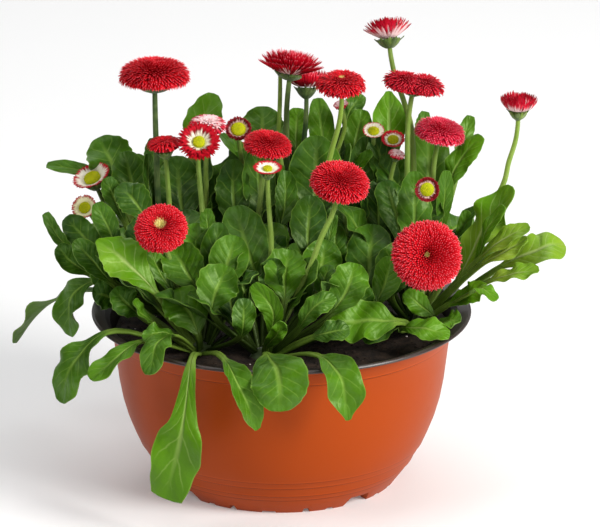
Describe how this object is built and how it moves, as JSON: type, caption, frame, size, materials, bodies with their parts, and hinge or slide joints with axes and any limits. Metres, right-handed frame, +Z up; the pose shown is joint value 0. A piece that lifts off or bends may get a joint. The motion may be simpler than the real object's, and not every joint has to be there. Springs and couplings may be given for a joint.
{
  "type": "potted english daisy",
  "caption": "Round plastic bowl of soil planted with english daisies: red pompon flowers and small open blooms on tall stems over spoon-shaped green leaves.",
  "frame": {"origin": "on the standing surface, under the middle of the bowl", "axes": "+Z up through the middle of the bowl; -Y is the front that the picture looks at; +X to the right seen from the front"},
  "size_m": [0.3391, 0.2637, 0.2785],
  "materials": {
    "pot": "satin",
    "soil": "rough, matt, peat",
    "greenery": "satin leaf with pale veins",
    "red_petals": "matt petal",
    "pink_petals": "matt petal, white to pink with red tips",
    "disc": "matt, grainy"
  },
  "bodies": {
    "root": {"pot": "pot", "soil": "soil", "plant_front_left": "greenery", "plant_front_middle": "greenery", "plant_right": "greenery", "plant_left": "greenery", "plant_back": "greenery", "bloom_01_petals": "red_petals", "bloom_02_petals": "red_petals", "bloom_03_petals": "pink_petals", "bloom_04_petals": "red_petals", "bloom_05_petals": "pink_petals", "bloom_06_petals": "red_petals", "bloom_07_petals": "pink_petals", "bloom_08_petals": "pink_petals", "bloom_09_petals": "pink_petals", "bloom_10_petals": "red_petals", "bloom_11_petals": "red_petals", "bloom_12_petals": "red_petals", "bloom_13_petals": "red_petals", "bloom_14_petals": "red_petals", "bloom_15_petals": "red_petals", "bloom_16_petals": "red_petals", "bloom_17_petals": "red_petals", "bloom_18_petals": "red_petals", "bloom_19_petals": "pink_petals", "bloom_20_petals": "pink_petals", "bloom_21_petals": "red_petals", "bloom_22_petals": "pink_petals", "bloom_23_petals": "red_petals", "bloom_24_petals": "red_petals", "bloom_25_petals": "red_petals", "bloom_03_disc": "disc", "bloom_05_disc": "disc", "bloom_07_disc": "disc", "bloom_08_disc": "disc", "bloom_09_disc": "disc", "bloom_19_disc": "disc", "bloom_20_disc": "disc", "bloom_22_disc": "disc"}
  },
  "joints": []
}
